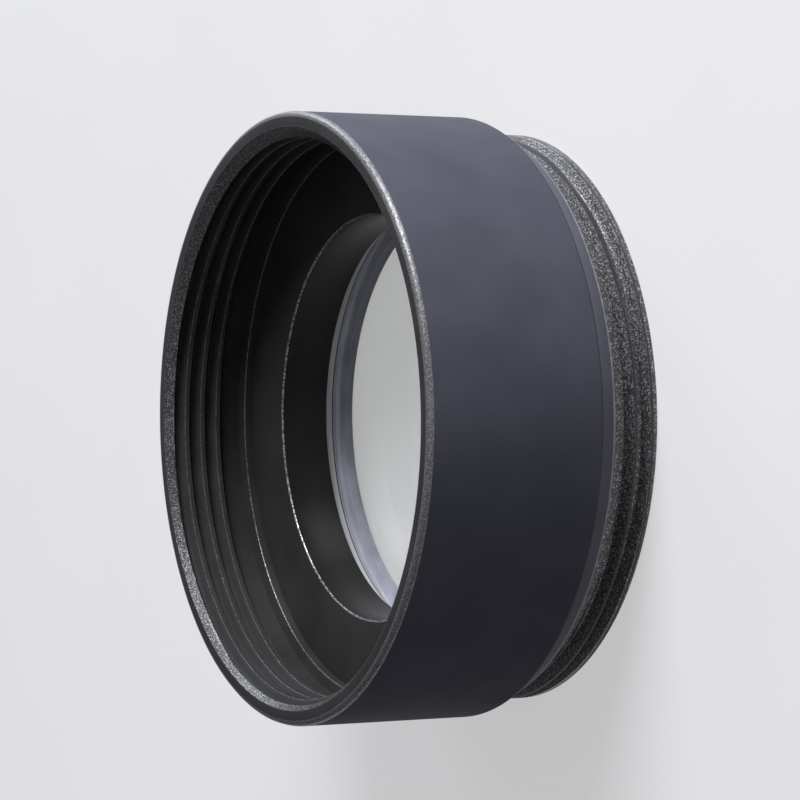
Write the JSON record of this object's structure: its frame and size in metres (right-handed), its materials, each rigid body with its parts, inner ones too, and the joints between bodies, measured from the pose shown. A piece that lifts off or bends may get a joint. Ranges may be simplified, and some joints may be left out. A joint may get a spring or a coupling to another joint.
{
  "type": "telescope focal reducer",
  "caption": "Short threaded barrel with a cemented lens in its waist: it screws between a camera and a telescope and shortens the focal length.",
  "frame": {"origin": "centre of the male thread's end face, which the part stands on", "axes": "+Z along the optical axis, towards the mouth of the female thread"},
  "size_m": [0.0268, 0.0268, 0.0113],
  "materials": {
    "black_anodised": "bead-blasted, black anodised",
    "clear_anodised": "turned, clear anodised",
    "grey_plastic": "matt",
    "optical_glass": "polished and coated"
  },
  "bodies": {
    "root": {"barrel": "black_anodised", "spacer_ring": "grey_plastic", "front_lens": "optical_glass", "back_lens": "optical_glass", "retaining_ring": "clear_anodised"}
  },
  "joints": []
}
